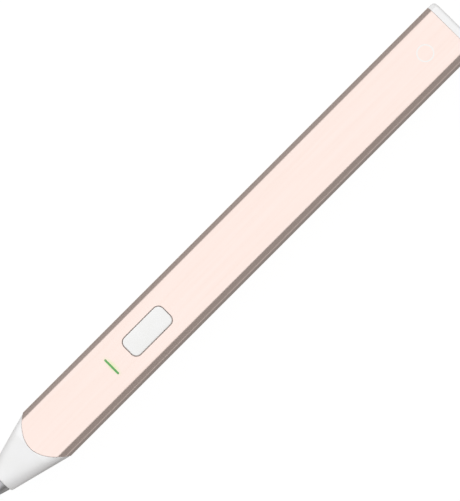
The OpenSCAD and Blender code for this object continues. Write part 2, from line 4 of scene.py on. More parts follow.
import bmesh
import bpy
import numpy as np
from mathutils import Matrix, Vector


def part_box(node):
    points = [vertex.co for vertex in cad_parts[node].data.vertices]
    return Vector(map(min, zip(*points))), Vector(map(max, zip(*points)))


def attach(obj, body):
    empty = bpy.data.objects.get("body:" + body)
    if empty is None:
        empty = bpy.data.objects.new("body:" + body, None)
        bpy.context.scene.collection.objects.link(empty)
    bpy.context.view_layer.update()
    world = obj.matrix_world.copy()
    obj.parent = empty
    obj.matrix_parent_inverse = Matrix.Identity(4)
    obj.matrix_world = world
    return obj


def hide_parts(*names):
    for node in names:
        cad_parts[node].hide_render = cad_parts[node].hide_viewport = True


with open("model.json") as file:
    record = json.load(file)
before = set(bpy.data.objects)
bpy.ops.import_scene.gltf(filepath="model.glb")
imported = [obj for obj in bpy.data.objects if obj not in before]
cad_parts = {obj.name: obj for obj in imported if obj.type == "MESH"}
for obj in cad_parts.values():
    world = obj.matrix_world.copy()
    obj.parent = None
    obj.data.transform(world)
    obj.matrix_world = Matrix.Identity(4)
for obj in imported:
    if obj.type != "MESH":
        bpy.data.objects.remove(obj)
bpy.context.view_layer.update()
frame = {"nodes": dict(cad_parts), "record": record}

# Everything below is worked out in millimetres in the pen's own directions:
# x from the middle of the arched seam towards the tail, y across the button face,
# z up from the pen's long axis. place() turns that into metres in the frame.
metre = 0.001
tubeLow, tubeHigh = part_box("body_tube")
seamX = tubeLow.x
axisZ = (tubeLow.z + tubeHigh.z) / 2
quarterTurn = math.pi / 2


def place(points):
    # pen millimetres to frame metres: scale by a thousandth, then move to the seam and the axis
    return np.asarray(points, float) * metre + (seamX, 0, axisZ)


def penBox(node):
    # a CAD node's corners in pen millimetres
    return [(np.array(corner) - (seamX, 0, axisZ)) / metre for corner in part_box(node)]


camera = {
    "lens": 250,  # mm, long, so the sides of the pen stay parallel
    "sensor": 36,
    "distance": 0.9254,  # m from the target, which is a point of the frame in metres
    "target": (0.00406, 0.00016, 0.0078),
    "turn": 45,  # degrees that the pen runs up to the right
    "roll": 4.0,  # degrees towards the pen's right side
}


def makeCamera(c):
    # back points from the pen to the camera: straight up, rolled a little about the pen's length;
    # right and up are the pen's length and width turned about it
    roll, turn = math.radians(c["roll"]), math.radians(c["turn"])
    along = np.array([1.0, 0, 0])
    across = np.array([0, math.cos(roll), math.sin(roll)])
    back = np.array([0, -math.sin(roll), math.cos(roll)])
    right = along * math.cos(turn) - across * math.sin(turn)
    up = along * math.sin(turn) + across * math.cos(turn)
    data = bpy.data.cameras.new("penCamera")
    data.type, data.lens, data.sensor_width = "PERSP", c["lens"], c["sensor"]
    data.clip_start, data.clip_end = 0.05, 20
    eye = bpy.data.objects.new("penCamera", data)
    bpy.context.scene.collection.objects.link(eye)
    matrix = np.eye(4)
    matrix[:3, 0], matrix[:3, 1], matrix[:3, 2] = right, up, back
    matrix[:3, 3] = np.array(c["target"]) + back * c["distance"]
    eye.matrix_world = Matrix(matrix.tolist())
    bpy.context.scene.camera = eye


makeCamera(camera)
print("camera set")


def gridFaces(rows, columns, closed):
    # quads between neighbouring rows and columns of a grid, carried round from the last column to the
    # first if it is closed
    row, column = np.meshgrid(np.arange(rows - 1), np.arange(columns - (not closed)), indexing="ij")
    here = row * columns + column
    beside = row * columns + (column + 1) % columns
    return np.stack([here, beside, beside + columns, here + columns], -1).reshape(-1, 4)


def makePiece(name, patches, creaseAngle=40):
    # one mesh from grids of points: points nearer than a ten thousandth of a millimetre are merged, a
    # quad that closes on a pole becomes a triangle, and the closed shell's normals are turned outwards
    nearest = 1e-4
    points, faces, start = [], [], 0
    for grid, closed in patches:
        rows, columns = grid.shape[:2]
        points.append(grid.reshape(-1, 3))
        faces.append(gridFaces(rows, columns, closed) + start)
        start += rows * columns
    points, faces = np.concatenate(points), np.concatenate(faces)
    keys = np.round(points / nearest).astype(np.int64)
    _, first, merged = np.unique(keys, axis=0, return_index=True, return_inverse=True)
    faces = merged.reshape(-1)[faces]
    distinct = faces != np.roll(faces, -1, axis=1)
    corners = distinct.sum(axis=1)
    quads = faces[corners == 4]
    triangles = faces[corners == 3][distinct[corners == 3]].reshape(-1, 3)
    mesh = bpy.data.meshes.new(name)
    mesh.from_pydata(place(points[first]).tolist(), [], quads.tolist() + triangles.tolist())
    shell = bmesh.new()
    shell.from_mesh(mesh)
    bmesh.ops.recalc_face_normals(shell, faces=shell.faces)
    shell.to_mesh(mesh)
    shell.free()
    mesh.shade_smooth()
    mesh.set_sharp_from_angle(angle=math.radians(creaseAngle))
    mesh.validate()
    piece = bpy.data.objects.new(name, mesh)
    bpy.context.scene.collection.objects.link(piece)
    return piece


def dressPiece(piece, material, body, slot, *nodes):
    # gives a piece its material and its body, and hides the CAD nodes that it stands for; slot is not used
    piece.data.materials.append(material)
    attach(piece, body)
    if nodes:
        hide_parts(*nodes)
    return piece


def withX(x, section):
    # a ring of (y, z) points carried to x, one value or one per point
    return np.column_stack([np.broadcast_to(x, len(section)), section])


def arcSteps(count):
    # angles from 0 to a right angle
    return np.linspace(0, quarterTurn, count)


def spread(steps, margin):
    # fractions from 0 to 1: even steps, with one more point close to each end
    return np.concatenate([[0], np.linspace(margin, 1 - margin, steps), [1]])


def slotSide(fractions, across, along, radius, turn, gather=0.6):
    # one side of a rectangle with round corners, from the middle of one corner's arc to the middle of
    # the next, across being the side's distance from the centre; points gather towards the corners
    half = radius * math.pi / 4
    straight = 2 * (along - radius)
    eased = fractions - gather * np.sin(2 * np.pi * fractions) / (2 * np.pi)
    run = eased * (straight + 2 * half)
    bend = (np.clip(run - half, -half, 0) + np.clip(run - half - straight, 0, half)) / radius
    outwards = across - radius + radius * np.cos(bend)
    forwards = radius - along + np.clip(run - half, 0, straight) + radius * np.sin(bend)
    cosine, sine = math.cos(turn), math.sin(turn)
    return np.column_stack([outwards * cosine - forwards * sine, outwards * sine + forwards * cosine])


def slotRing(centre, halfLength, halfWidth, radius, sides):
    # the four sides of a round-cornered rectangle, its length along x; sides holds four lists of fractions
    parts = []
    for i, fractions in enumerate(sides):
        across, along = (halfLength, halfWidth) if i % 2 == 0 else (halfWidth, halfLength)
        parts.append(slotSide(fractions[:-1], across, along, radius, math.pi + i * quarterTurn))
    return np.concatenate(parts) + centre


def holePatch(loop, innerLoop, ringAt, lift, depth, fillet, margin=0.05):
    # a face from its outer loop in to a hole, round the hole's soft edge, down its wall to depth and out
    # again to the loop of the inner face; ringAt(grow) is the hole's outline grown by grow, and
    # lift(flat, depth) takes flat points to their depth below the face
    rim = ringAt(fillet + margin)
    rows = [lift(loop, 0)]
    rows += [lift(loop + (rim - loop) * t, 0) for t in (0.3, 0.6, 0.85, 1)]
    rows += [lift(ringAt(fillet * (1 - math.sin(a))), fillet * (1 - math.cos(a))) for a in arcSteps(6)]
    rows += [lift(ringAt(0), depth)]
    rows += [lift(ringAt(0) + (innerLoop - ringAt(0)) * t, depth) for t in (0.5, 1)]
    return np.stack(rows), True


def hexColour(code):
    # sRGB to linear light: c / 12.92 for a dark channel, otherwise ((c + 0.055) / 1.055) ^ 2.4
    channels = np.array([int(code[i : i + 2], 16) for i in (1, 3, 5)]) / 255
    linear = np.where(channels <= 0.04045, channels / 12.92, ((channels + 0.055) / 1.055) ** 2.4)
    return (*(float(channel) for channel in linear), 1.0)


def addNode(tree, kind, values=None, links=None, **settings):
    # one node with its settings, its inputs' values and the sockets that feed it
    node = tree.nodes.new(kind)
    for name, value in settings.items():
        setattr(node, name, value)
    for name, value in (values or {}).items():
        node.inputs[name].default_value = value
    for name, socket in (links or {}).items():
        tree.links.new(socket, node.inputs[name])
    return node


def startMaterial(name, colour, values):
    # a Principled surface with its own output, and the Object coordinates in metres
    material = bpy.data.materials.new(name)
    material.use_nodes = True
    material.diffuse_color = hexColour(colour)
    tree = material.node_tree
    tree.nodes.clear()
    shader = addNode(tree, "ShaderNodeBsdfPrincipled", {"Base Color": hexColour(colour), **values})
    addNode(tree, "ShaderNodeOutputMaterial", links={"Surface": shader.outputs["BSDF"]})
    coordinates = addNode(tree, "ShaderNodeTexCoord").outputs["Object"]
    return material, tree, shader, coordinates


def grain(tree, coordinates, size, detail, stretch=(1, 1, 1)):
    # noise whose grains are size millimetres across, drawn out along an axis by a stretch above 1
    scale = tuple(1 / (size * metre * s) for s in stretch)
    moved = addNode(tree, "ShaderNodeMapping", {"Scale": scale}, {"Vector": coordinates})
    values = {"Scale": 1.0, "Detail": detail}
    noise = addNode(tree, "ShaderNodeTexNoise", values, {"Vector": moved.outputs[0]})
    return noise.outputs["Fac"]


def cutterRows(tree, coordinates, period, wander, detail, way):
    # waves period millimetres apart along one direction; a wave texture's scale is a full turn over
    # twenty periods
    values = {"Scale": math.tau / (20 * period * metre), "Distortion": wander, "Detail": detail}
    waves = addNode(tree, "ShaderNodeTexWave", values, {"Vector": coordinates}, bands_direction=way)
    return waves.outputs["Fac"]


def cellPattern(tree, coordinates, size, **settings):
    # distance to the nearest seed, or to the nearest edge, of cells size millimetres across
    values = {"Scale": 1 / (size * metre)}
    cells = addNode(tree, "ShaderNodeTexVoronoi", values, {"Vector": coordinates}, **settings)
    return cells.outputs["Distance"]


def tint(tree, shader, pattern, first, second, low=0.35, high=0.65):
    # base colour from one shade to another as the pattern goes from low to high
    share = addNode(tree, "ShaderNodeMapRange", {"From Min": low, "From Max": high}, {"Value": pattern})
    shades = {6: hexColour(first), 7: hexColour(second)}
    mixed = addNode(tree, "ShaderNodeMix", shades, {0: share.outputs[0]}, data_type="RGBA")
    tree.links.new(mixed.outputs[2], shader.inputs["Base Color"])


def tintNear(tree, shader, coordinates, centre, reach, colour):
    # the base colour turns to another at the centre, evenly less so out to an ellipsoid around it
    # whose half axes are reach millimetres
    scale = [1 / (r * metre) for r in reach]
    shift = [-c * f for c, f in zip(centre, scale)]
    moved = addNode(tree, "ShaderNodeMapping", {"Scale": scale, "Location": shift}, {"Vector": coordinates})
    links = {"Vector": moved.outputs[0]}
    fall = addNode(tree, "ShaderNodeTexGradient", links=links, gradient_type="SPHERICAL")
    plain = shader.inputs["Base Color"].links[0].from_socket
    links = {0: fall.outputs["Fac"], 6: plain}
    mixed = addNode(tree, "ShaderNodeMix", {7: hexColour(colour)}, links, data_type="RGBA")
    tree.links.new(mixed.outputs[2], shader.inputs["Base Color"])


def roughen(tree, shader, pattern, rough=None, depth=None):
    # roughness from the first to the second of rough as the pattern goes from 0.3 to 0.7, and relief
    # that is depth millimetres high where the pattern is 1
    if rough:
        values = {"From Min": 0.3, "From Max": 0.7, "To Min": rough[0], "To Max": rough[1]}
        ranged = addNode(tree, "ShaderNodeMapRange", values, {"Value": pattern})
        tree.links.new(ranged.outputs[0], shader.inputs["Roughness"])
    if depth:
        values = {"Distance": depth * metre, "Strength": 1.0}
        relief = addNode(tree, "ShaderNodeBump", values, {"Height": pattern})
        tree.links.new(relief.outputs["Normal"], shader.inputs["Normal"])


# Materials of the outside. Colours are sRGB, and grain, period and depth are in millimetres.


def anodisedAluminium():
    # extruded aluminium, bead blasted and anodised pale rose: a satin metal that mirrors only broad light
    # and shade. The blasted grain is really about 0.05 mm and is drawn at 0.25 mm.
    finish = {
        "colour": "#fdebe4",
        "deeper": "#fbe8e0",
        "grain": 0.25,
        "depth": 0.0016,
        "rough": (0.34, 0.39),
        "streak": 1.2,
        "stretch": 30,  # how much longer than wide the streaks of the extrusion are
        "lit": "#e4edbb",  # painted light: the green glow of the light line, painted into the metal's colour round it
        "halo": (1.2, 3.6, 1.2),
        "haloShift": 0.2,  # mm towards the tail
    }
    values = {"Metallic": 1.0, "Roughness": 0.36}
    material, tree, shader, coordinates = startMaterial("anodisedAluminium", finish["colour"], values)
    blasted = grain(tree, coordinates, finish["grain"], 2)
    drawn = grain(tree, coordinates, finish["streak"], 4, (finish["stretch"], 1, 1))
    tint(tree, shader, drawn, finish["colour"], finish["deeper"])
    # painted light: the light line's green glow on the metal is painted into the base colour, fading out to
    # an ellipsoid round the line
    lightLow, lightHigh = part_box("light_guide")
    lamp = ((lightLow.x + lightHigh.x) / 2 + finish["haloShift"] * metre, 0, lightHigh.z)
    tintNear(tree, shader, coordinates, lamp, finish["halo"], finish["lit"])
    roughen(tree, shader, blasted, finish["rough"], finish["depth"])
    return material


def whiteAbs(name, finish):
    # moulded white ABS: a fine texture from the mould, and a very slow change of shade as it flowed
    material, tree, shader, coordinates = startMaterial(name, finish["colour"], {"IOR": 1.53})
    mould = grain(tree, coordinates, finish["grain"], finish["detail"])
    flow = grain(tree, coordinates, finish["flow"], 2)
    tint(tree, shader, flow, finish["colour"], finish["shade"])
    roughen(tree, shader, mould, finish["rough"], finish["depth"])
    return material


def mouldedAbs():
    # injection moulded against spark-eroded steel: bright, with a soft sheen
    finish = {"colour": "#f1f1f2", "shade": "#efefef", "flow": 6, "grain": 0.3, "detail": 3}
    return whiteAbs("mouldedAbs", {**finish, "rough": (0.38, 0.46), "depth": 0.0025})


def polishedAbs():
    # the button's ABS, moulded against a finer steel and a little glossier from fingertips
    finish = {"colour": "#f0f0f0", "shade": "#eeeeed", "flow": 4, "grain": 0.2, "detail": 2}
    return whiteAbs("polishedAbs", {**finish, "rough": (0.28, 0.36), "depth": 0.0012})


def glowingLightPipe():
    # green tinted polycarbonate light pipe with the lamp on below it: an even green glow
    finish = {"colour": "#4f9f50", "paler": "#58a658", "power": 0.24, "grain": 0.6}
    values = {"IOR": 1.58, "Roughness": 0.25, "Emission Strength": finish["power"]}
    values["Emission Color"] = hexColour(finish["colour"])
    material, tree, shader, coordinates = startMaterial("glowingLightPipe", finish["colour"], values)
    tint(tree, shader, grain(tree, coordinates, finish["grain"], 2), finish["colour"], finish["paler"])
    return material


def turnedNozzleSteel():
    # hardened steel turned on a lathe and darkened by heat: fine rings round the axis
    finish = {"colour": "#c4c4c6", "dark": "#b6b5b7", "ring": 0.18, "rough": (0.38, 0.46), "depth": 0.003}
    values = {"Metallic": 1.0, "Roughness": 0.42}
    material, tree, shader, coordinates = startMaterial("turnedNozzleSteel", finish["colour"], values)
    rings = cutterRows(tree, coordinates, finish["ring"], 0.6, 2.0, "X")
    tint(tree, shader, grain(tree, coordinates, 1.5, 3), finish["colour"], finish["dark"])
    roughen(tree, shader, rings, finish["rough"], finish["depth"])
    return material


def padPrint():
    # white ink pad printed on the anodised face, thin and slightly uneven
    finish = {"colour": "#f7f5f3", "thin": "#f1eeeb", "speck": 0.2, "rough": (0.45, 0.6)}
    values = {"Roughness": 0.5}
    material, tree, shader, coordinates = startMaterial("padPrint", finish["colour"], values)
    speck = grain(tree, coordinates, finish["speck"], 3)
    tint(tree, shader, speck, finish["colour"], finish["thin"])
    roughen(tree, shader, speck, finish["rough"])
    return material


# Materials of the inside, seen when the pen is opened.


def turnedBrass():
    # free-cutting brass, turned bright: warm yellow with fine rings along the axis
    values = {"Metallic": 1.0, "Roughness": 0.3}
    material, tree, shader, coordinates = startMaterial("turnedBrass", "#c9a35a", values)
    turned = grain(tree, coordinates, 0.25, 3, (0.3, 6, 6))
    tint(tree, shader, grain(tree, coordinates, 2, 3), "#cda75e", "#b98f4a")
    roughen(tree, shader, turned, (0.22, 0.36), 0.002)
    return material


def firedAlumina():
    # sintered alumina ceramic, matt and off-white with a sandy grain
    values = {"IOR": 1.76, "Roughness": 0.7}
    material, tree, shader, coordinates = startMaterial("firedAlumina", "#ebe6d9", values)
    sand = grain(tree, coordinates, 0.12, 4)
    tint(tree, shader, grain(tree, coordinates, 1.2, 3), "#eee9dc", "#e0d9c8")
    roughen(tree, shader, sand, depth=0.006)
    return material


def groundSteel():
    # hardened steel, ground along its length: bright with faint scratches
    values = {"Metallic": 1.0, "Roughness": 0.28}
    material, tree, shader, coordinates = startMaterial("groundSteel", "#bfc1c4", values)
    scratches = grain(tree, coordinates, 0.12, 4, (20, 1, 1))
    tint(tree, shader, grain(tree, coordinates, 2.5, 2), "#c4c6c9", "#b0b2b6")
    roughen(tree, shader, scratches, (0.2, 0.36), 0.0015)
    return material


def extrudedPtfe():
    # milky fluoropolymer tube, waxy, light passes a little way into it
    values = {"IOR": 1.35, "Roughness": 0.42, "Subsurface Weight": 0.3, "Subsurface Scale": 0.001}
    material, tree, shader, coordinates = startMaterial("extrudedPtfe", "#eeeee8", values)
    cloud = grain(tree, coordinates, 1.5, 3, (5, 1, 1))
    tint(tree, shader, cloud, "#f1f1ec", "#e4e4dc")
    roughen(tree, shader, cloud, (0.36, 0.5))
    return material


def glassFilledNylon():
    # moulded dark grey nylon with short glass fibres: matt, with pale flecks drawn out along the flow
    values = {"IOR": 1.53, "Roughness": 0.55}
    material, tree, shader, coordinates = startMaterial("glassFilledNylon", "#303033", values)
    fibre = grain(tree, coordinates, 0.15, 3, (5, 1, 1))
    tint(tree, shader, fibre, "#2b2b2e", "#3d3d41", 0.45, 0.75)
    roughen(tree, shader, fibre, (0.48, 0.62), 0.004)
    return material


def milledAluminium():
    # milled aluminium plate with the cutter's fine rows
    values = {"Metallic": 1.0, "Roughness": 0.35}
    material, tree, shader, coordinates = startMaterial("milledAluminium", "#b3b6ba", values)
    rows = cutterRows(tree, coordinates, 0.3, 0.4, 1.0, "DIAGONAL")
    tint(tree, shader, grain(tree, coordinates, 3, 2), "#b7babe", "#a5a8ad")
    roughen(tree, shader, rows, (0.28, 0.42), 0.002)
    return material


def solderMask():
    # green lacquer over copper tracks on glass laminate: the tracks show as a lighter pattern
    values = {"IOR": 1.5, "Roughness": 0.3}
    material, tree, shader, coordinates = startMaterial("solderMask", "#14573a", values)
    tracks = cellPattern(tree, coordinates, 1.4, distance="CHEBYCHEV", feature="DISTANCE_TO_EDGE")
    tint(tree, shader, tracks, "#2a7d52", "#114b32", 0.1, 0.13)
    roughen(tree, shader, grain(tree, coordinates, 0.5, 2), (0.25, 0.38))
    roughen(tree, shader, tracks, depth=-0.01)
    return material


def mouldedEpoxy():
    # black epoxy of chips and connectors, matt and finely pitted
    values = {"IOR": 1.55, "Roughness": 0.6}
    material, tree, shader, coordinates = startMaterial("mouldedEpoxy", "#1b1b1d", values)
    pits = grain(tree, coordinates, 0.08, 4)
    tint(tree, shader, pits, "#18181a", "#252528")
    roughen(tree, shader, pits, (0.5, 0.7), 0.003)
    return material


def shrinkWrap():
    # blue PVC shrink film over the cell, glossy with faint lengthwise wrinkles
    values = {"IOR": 1.53, "Roughness": 0.22}
    material, tree, shader, coordinates = startMaterial("shrinkWrap", "#2c5699", values)
    wrinkle = grain(tree, coordinates, 0.9, 3, (12, 1, 1))
    tint(tree, shader, grain(tree, coordinates, 8, 2), "#2f5b9f", "#284f8c")
    roughen(tree, shader, wrinkle, (0.16, 0.3), 0.03)
    return material


def closedCellFoam():
    # dark grey EVA foam cut from sheet: open pores of about 0.4 mm on a soft matt face, with painted shade
    # in the pores
    values = {"Roughness": 0.9, "Sheen Weight": 0.2, "Sheen Roughness": 0.5}
    material, tree, shader, coordinates = startMaterial("closedCellFoam", "#48484b", values)
    pores = cellPattern(tree, coordinates, 0.4)
    # painted shade: each pore is coloured darker towards its sunken middle
    tint(tree, shader, pores, "#333336", "#515155", 0.1, 0.6)
    roughen(tree, shader, pores, depth=0.12)
    return material


def siliconeSleeve():
    # red silicone rubber over stranded wire, dull and smooth with a little dust
    values = {"IOR": 1.42, "Roughness": 0.5}
    material, tree, shader, coordinates = startMaterial("siliconeSleeve", "#b5332b", values)
    dust = grain(tree, coordinates, 0.5, 4)
    tint(tree, shader, dust, "#b5332b", "#c04a40", 0.45, 0.8)
    roughen(tree, shader, dust, (0.44, 0.6))
    return material


def mouldedAcetal():
    # cream acetal of the crown gear, waxy and slightly marbled
    values = {"IOR": 1.48, "Roughness": 0.35, "Subsurface Weight": 0.1, "Subsurface Scale": 0.0008}
    material, tree, shader, coordinates = startMaterial("mouldedAcetal", "#e6dfc8", values)
    flow = grain(tree, coordinates, 0.8, 3)
    tint(tree, shader, flow, "#e9e2cc", "#ddd5bc")
    roughen(tree, shader, flow, (0.3, 0.42))
    return material


slotMaterials = {
    "body_paint": anodisedAluminium(),
    "white_plastic": mouldedAbs(),
    "button_plastic": polishedAbs(),
    "light_plastic": glowingLightPipe(),
    "nozzle_metal": turnedNozzleSteel(),
    "brass": turnedBrass(),
    "ceramic": firedAlumina(),
    "steel": groundSteel(),
    "clear_tube": extrudedPtfe(),
    "dark_plastic": glassFilledNylon(),
    "mount_metal": milledAluminium(),
    "board_green": solderMask(),
    "chip_black": mouldedEpoxy(),
    "cell_wrap": shrinkWrap(),
    "foam": closedCellFoam(),
    "wire_cover": siliconeSleeve(),
    "gear_plastic": mouldedAcetal(),
}
for part in frame["record"]["subparts"]:
    slots = frame["nodes"][part["node"]].data.materials
    slots.clear()
    slots.append(slotMaterials[part["material_slot"]])
print("materials made for", len(frame["nodes"]), "parts")


section = {
    "bevel": 1.6,  # how much of each side a cut corner takes
    "round": 1.0,  # radius of the arcs between the flats
    "wall": 1.0,
    "faceSteps": 34,
    "sideSteps": 30,
    "bevelSteps": 3,
    "margin": 0.006,  # share of a face or a side between its end and the next point
    "bevelMargin": 0.1,
    "arc": 5,
}
halfWidth = tubeHigh.y / metre
halfThick = (tubeHigh.z - tubeLow.z) / 2 / metre


def sectionRing(inset=0.0):
    # (y, z) points round a rectangle with its corners cut at 45 degrees: eight flats joined by eight
    # small arcs, every flat moved inwards by inset. The first flat is the button face, from +y to -y.
    s = section
    normals = np.radians(90 + 45 * np.arange(9))
    cut = (halfWidth + halfThick - s["bevel"]) / math.sqrt(2)
    reach = np.array([halfThick, cut, halfWidth, cut] * 2 + [halfThick])
    steps = [s["faceSteps"], s["bevelSteps"], s["sideSteps"], s["bevelSteps"]] * 2
    margins = [s["margin"], s["bevelMargin"]] * 4
    directions = np.column_stack([np.cos(normals), np.sin(normals)])

    def crossing(k, back):
        # where flats k and k + 1 meet, both moved in by the inset and by back
        pair = directions[[k % 8, (k + 1) % 8]]
        return np.linalg.solve(pair, reach[[k % 8, (k + 1) % 8]] - inset - back)

    parts = []
    for k in range(8):
        ahead = np.array([-directions[k][1], directions[k][0]])
        before, after = crossing(k - 1, 0), crossing(k, 0)
        tangent = s["round"] * math.tan(math.pi / 8)
        start, end = before + ahead * tangent, after - ahead * tangent
        t = spread(steps[k], margins[k])[:, None]
        parts.append(start + (end - start) * t)
        turn = normals[k] + np.linspace(0, math.pi / 4, s["arc"] + 1)[1:-1]
        parts.append(crossing(k, s["round"]) + s["round"] * np.column_stack([np.cos(turn), np.sin(turn)]))
    return np.concatenate(parts)


tube = {
    "sag": 5.1,  # how far the front edge falls back at the sides
    "edge": 0.16,  # rounding of the front edge
    "backEdge": 0.06,
    "steps": (0, 0.01, 0.12, 0.3, 0.5, 0.75, 1),  # shares of the way back to the first straight ring
    "straight": 12.0,  # where that ring is
    "ahead": 20.0,  # the ring between it and the light's block
    "behind": 60,  # the first of the even rings behind the button's block
    "rings": 16,
    "lightBlock": {"reach": 3.6, "rings": 15, "radius": 0.2, "edge": 0.05},
    "buttonBlock": {"reach": 9.7, "rings": 37, "radius": 1.9, "edge": 0.14},
    "lightSlot": 0.25,  # half the width of the light's hole
    "lightLedge": 0.55,  # how far the light's foot goes on past its hole
    "buttonLedge": (0.5, 0.4),  # how far the button's flange does, in x and in y
}


def archAt(y):
    # how far behind the seam's middle the tube's front edge is: a parabola across the width
    return tube["sag"] * (y / halfWidth) ** 2


def makeTube():
    # the section carried along rings from the arched front edge to the back, once as the skin and once
    # as the lining. On the button face two blocks of rings are left out, each filled by a face with a
    # hole, and soft rims join the skin and the lining at both ends.
    lightLow, lightHigh = penBox("light_guide")
    buttonLow, buttonHigh = penBox("feed_button")
    lightX, buttonX = (lightLow[0] + lightHigh[0]) / 2, (buttonLow[0] + buttonHigh[0]) / 2
    lightBlock, buttonBlock = tube["lightBlock"], tube["buttonBlock"]
    back = (tubeHigh.x - seamX) / metre
    outer = sectionRing()
    inner = sectionRing(section["wall"])
    arch, edge = archAt(outer[:, 0]), tube["edge"]
    first = [(arch + edge) * (1 - share) + tube["straight"] * share for share in tube["steps"]]
    stations = np.concatenate([
        [tube["ahead"]],
        lightX + lightBlock["reach"] * np.linspace(-1, 1, lightBlock["rings"]),
        buttonX + buttonBlock["reach"] * np.linspace(-1, 1, buttonBlock["rings"]),
        np.linspace(tube["behind"], back - 1, tube["rings"]),
        [back - 2 * tube["backEdge"], back - tube["backEdge"]],
    ])
    places = first + [np.full(len(outer), x) for x in stations]
    skin = np.stack([withX(x, outer) for x in places])
    lining = np.stack([withX(x, inner) for x in places])
    lastColumn = section["faceSteps"] + 1
    rest = [*range(lastColumn, len(outer)), 0]
    face = slice(0, lastColumn + 1)
    lightRows = (len(first) + 1, len(first) + lightBlock["rings"])
    buttonRows = (lightRows[1] + 1, lightRows[1] + buttonBlock["rings"])
    solid = ((0, lightRows[0]), (lightRows[1], buttonRows[0]), (buttonRows[1], len(places) - 1))
    patches = []
    for grid in (skin, lining):
        patches.append((grid[:, rest], False))
        for low, high in solid:
            patches.append((grid[low : high + 1, face], False))
    lightHalf = (tube["lightSlot"], (lightHigh - lightLow)[1] / 2 - tube["lightLedge"])
    buttonHalf = (buttonHigh - buttonLow)[:2] / 2 - tube["buttonLedge"]
    holes = (
        (lightRows, (lightX, 0), lightHalf, lightBlock),
        (buttonRows, (buttonX, 0), buttonHalf, buttonBlock),
    )
    for (low, high), centre, (halfLong, halfWide), block in holes:
        loops = [blockLoop(grid, low, high, lastColumn) for grid in (skin, lining)]
        span = np.linspace(0, 1, high - low + 1)
        across = spread(section["faceSteps"], section["margin"])
        sides = [across, span, across, span]
        radius = block["radius"]
        patches.append(holePatch(
            *loops,
            lambda grow: slotRing(centre, halfLong + grow, halfWide + grow, radius + grow, sides),
            lambda flat, depth: np.column_stack([flat, np.full(len(flat), halfThick - depth)]),
            section["wall"],
            block["edge"],
        ))
    ends = ((arch, edge, lining[0]), (np.full(len(outer), back), -tube["backEdge"], lining[-1]))
    for x, soft, last in ends:
        rim = [
            withX(x + soft * (1 - math.sin(a)), sectionRing(abs(soft) * (1 - math.cos(a))))
            for a in arcSteps(6)
        ]
        rim += [withX(x, inner), last]
        patches.append((np.stack(rim), True))
    return makePiece("bodyTube", patches)


def blockLoop(grid, low, high, lastColumn):
    # the (x, y) loop round a block of the button face, from row low to row high
    return np.concatenate([
        grid[low, :lastColumn],
        grid[low:high, lastColumn],
        grid[high, lastColumn:0:-1],
        grid[high:low:-1, 0],
    ])[:, :2]


dressPiece(makeTube(), slotMaterials["body_paint"], "pen_body", "body_paint", "body_tube")
print("body tube made")


nose = {
    "around": 208,
    "endRadius": 3.95,
    "boxiness": 4.6,  # how much the exponent of the section grows from the front to the seam
    "lip": 0.3,  # rounding at the front end
    "edge": 0.14,  # rounding where it meets the tube
    "gap": 0.07,  # between it and the tube's front edge
    "rings": 56,
    "margin": 0.004,  # share of the way between an end and the next ring
    "hole": 2.9,
    "holeLength": 2,
    "holeEdge": 0.15,
    "cavity": 5.7,
    "back": 8.4,
    "fit": 0.05,  # between the spigot and the tube's inside
    "spigotEdge": 0.3,
}
noseTip = penBox("nose_cone")[0][0]
turns = np.linspace(0, 2 * np.pi, nose["around"], endpoint=False)


def noseRadius(x):
    # distance from the axis to a superellipse, (|y| / w)^n + (|z| / h)^n = 1, whose n grows from 2 at the
    # tip to 6.6, and whose half width and half height grow evenly until they reach the tube's
    taper = (halfWidth - nose["endRadius"]) / (tube["sag"] - noseTip)
    width = np.minimum(halfWidth, nose["endRadius"] + taper * (x - noseTip))
    rise = (nose["endRadius"] - halfThick) * (x - noseTip) / noseTip
    height = np.minimum(halfThick, nose["endRadius"] + rise)
    share = np.clip((x - noseTip) / (tube["sag"] - noseTip), 0, 1)
    power = 2 + nose["boxiness"] * share**1.3
    cosine, sine = np.abs(np.cos(turns)), np.abs(np.sin(turns))
    return ((cosine / width) ** power + (sine / height) ** power) ** (-1 / power)


def spigotRadius(gap):
    # distance from the axis to the tube's inside section, less a gap
    width, height = halfWidth - section["wall"] - gap, halfThick - section["wall"] - gap
    bevel = section["bevel"] - (section["wall"] + gap) * (2 - math.sqrt(2))
    cosine, sine = np.abs(np.cos(turns)) + 1e-9, np.abs(np.sin(turns)) + 1e-9
    return np.minimum(np.minimum(width / cosine, height / sine), (width + height - bevel) / (cosine + sine))


def aroundAxis(x, radius):
    # a ring round the pen's axis
    radius = np.broadcast_to(radius, len(turns))
    return np.column_stack([np.broadcast_to(x, len(turns)), radius * np.cos(turns), radius * np.sin(turns)])


def makeNose():
    # rings from inside the front hole out over the lip, back along the outside to the arched seam, in to
    # the spigot, along it to its end, and forwards through the cavity to the hole
    n = nose
    seam = np.zeros(len(turns))
    for _ in range(30):  # the seam's x and the nose's width there depend on each other
        seam = archAt(noseRadius(seam) * np.cos(turns))
    seam = seam - n["gap"]
    holeEnd = noseTip + n["holeLength"]
    rows = [(holeEnd, n["hole"]), (noseTip + n["holeEdge"], n["hole"])]
    rows += [(noseTip, n["hole"] + n["holeEdge"])]
    rows += [
        (noseTip + n["lip"] * (1 - math.cos(a)), noseRadius(noseTip) - n["lip"] * (1 - math.sin(a)))
        for a in arcSteps(7)[:-1]
    ]
    front = noseTip + n["lip"]
    for share in spread(n["rings"], n["margin"]):
        x = front + (seam - n["edge"] - front) * share
        rows.append((x, noseRadius(x)))
    for a in arcSteps(6)[1:]:
        x = seam - n["edge"] * (1 - math.sin(a))
        rows.append((x, noseRadius(x) - n["edge"] * (1 - math.cos(a))))
    spigot = spigotRadius(n["fit"])
    rows += [(seam, spigot), (n["back"] - n["spigotEdge"], spigot), (n["back"], spigot - n["spigotEdge"])]
    rows += [(n["back"], n["cavity"]), (0, n["cavity"]), (holeEnd, n["hole"])]
    return makePiece("noseCone", [(np.stack([aroundAxis(x, radius) for x, radius in rows]), True)], 50)


